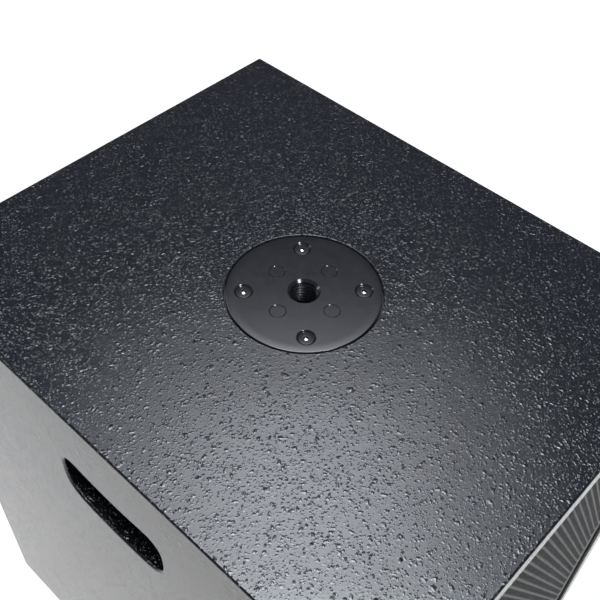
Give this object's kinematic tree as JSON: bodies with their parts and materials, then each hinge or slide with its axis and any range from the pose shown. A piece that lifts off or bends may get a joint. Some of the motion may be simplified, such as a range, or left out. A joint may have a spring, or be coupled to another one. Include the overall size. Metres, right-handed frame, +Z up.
{
  "type": "active pa subwoofer",
  "caption": "Compact PA subwoofer: black structure-coated cabinet with hand-holds, threaded pole-mount plate on top, woofer behind a steel grille and a rear amplifier.",
  "frame": {"origin": "on the floor, under the middle of the cabinet", "axes": "+Z up, the grille faces -Y, the amplifier faces +Y, X across the cabinet"},
  "size_m": [0.34, 0.421, 0.452],
  "materials": {
    "structure_paint": "sprayed black structure coating, small glossy bumps",
    "plywood": "raw birch plywood inside",
    "casting": "die casting with smooth satin black paint",
    "black_steel": "black powder coat",
    "zinc_steel": "zinc plated",
    "ferrite": "dull sintered",
    "cone_paper": "black pressed paper",
    "rubber": "matt black rubber",
    "coil_cloth": "resin treated cloth",
    "black_plastic": "moulded, fine grain",
    "foam": "open-cell acoustic foam",
    "circuit_board": "green solder mask",
    "copper_winding": "enamelled copper wire",
    "wadding": "loose polyester fleece",
    "light_lens": "clear green",
    "black_aluminium": "black anodised"
  },
  "bodies": {
    "cabinet": {"top_panel": "plywood", "bottom_panel": "plywood", "left_panel": "plywood", "right_panel": "plywood", "rear_panel": "plywood", "front_baffle": "plywood", "window_brace": "plywood", "structure_coat": "structure_paint", "hand_hold_cup_left": "black_plastic", "hand_hold_cup_right": "black_plastic", "damping_wadding": "wadding", "pole_mount_plate": "casting", "plate_screw_1": "black_steel", "plate_screw_2": "black_steel", "plate_screw_3": "black_steel", "plate_screw_4": "black_steel", "woofer_basket": "black_steel", "woofer_surround": "rubber", "woofer_spider": "coil_cloth", "woofer_top_plate": "zinc_steel", "woofer_magnet": "ferrite", "woofer_yoke": "zinc_steel", "woofer_screw_1": "black_steel", "woofer_screw_2": "black_steel", "woofer_screw_3": "black_steel", "woofer_screw_4": "black_steel", "port_tube_left": "black_plastic", "port_tube_right": "black_plastic", "front_grille": "black_steel", "grille_foam": "foam", "grille_screw_1": "black_steel", "grille_screw_2": "black_steel", "grille_screw_3": "black_steel", "grille_screw_4": "black_steel", "amp_plate": "black_steel", "amp_screw_1": "black_steel", "amp_screw_2": "black_steel", "amp_screw_3": "black_steel", "amp_screw_4": "black_steel", "heat_sink": "black_aluminium", "control_board": "circuit_board", "power_board": "circuit_board", "toroidal_transformer": "copper_winding", "mains_inlet": "black_plastic", "rocker_frame": "black_plastic", "xlr_input": "black_plastic", "xlr_output": "black_plastic", "status_light": "light_lens", "rubber_foot_1": "rubber", "rubber_foot_2": "rubber", "rubber_foot_3": "rubber", "rubber_foot_4": "rubber"},
    "cone_assembly": {"woofer_cone": "cone_paper", "woofer_dust_cap": "cone_paper", "voice_coil_former": "coil_cloth"},
    "gain_control": {"gain_knob": "black_plastic"},
    "crossover_control": {"crossover_knob": "black_plastic"},
    "power_switch": {"power_rocker": "black_plastic"},
    "polarity_switch": {"polarity_button": "black_plastic"},
    "input_release": {"xlr_latch": "zinc_steel"}
  },
  "joints": [
    {"name": "cone_excursion", "type": "slide", "parent": "cabinet", "child": "cone_assembly", "axis": [0, -1, 0], "range_m": [-0.006, 0.006], "stiffness_N_per_m": 2500, "deforming": ["woofer_surround", "woofer_spider"]},
    {"name": "gain_turn", "type": "hinge", "parent": "cabinet", "child": "gain_control", "pos_m": [-0.036, 0.19, 0.334], "axis": [0, 1, 0], "range_deg": [-140, 140]},
    {"name": "crossover_turn", "type": "hinge", "parent": "cabinet", "child": "crossover_control", "pos_m": [-0.082, 0.19, 0.334], "axis": [0, 1, 0], "range_deg": [-140, 140]},
    {"name": "power_tip", "type": "hinge", "parent": "cabinet", "child": "power_switch", "pos_m": [-0.059, 0.1883, 0.194], "axis": [-1, 0, 0], "range_deg": [0, 16]},
    {"name": "polarity_press", "type": "slide", "parent": "cabinet", "child": "polarity_switch", "axis": [0, -1, 0], "range_m": [0, 0.0025], "stiffness_N_per_m": 150},
    {"name": "latch_press", "type": "slide", "parent": "cabinet", "child": "input_release", "axis": [0, -1, 0], "range_m": [0, 0.0018], "stiffness_N_per_m": 200}
  ]
}
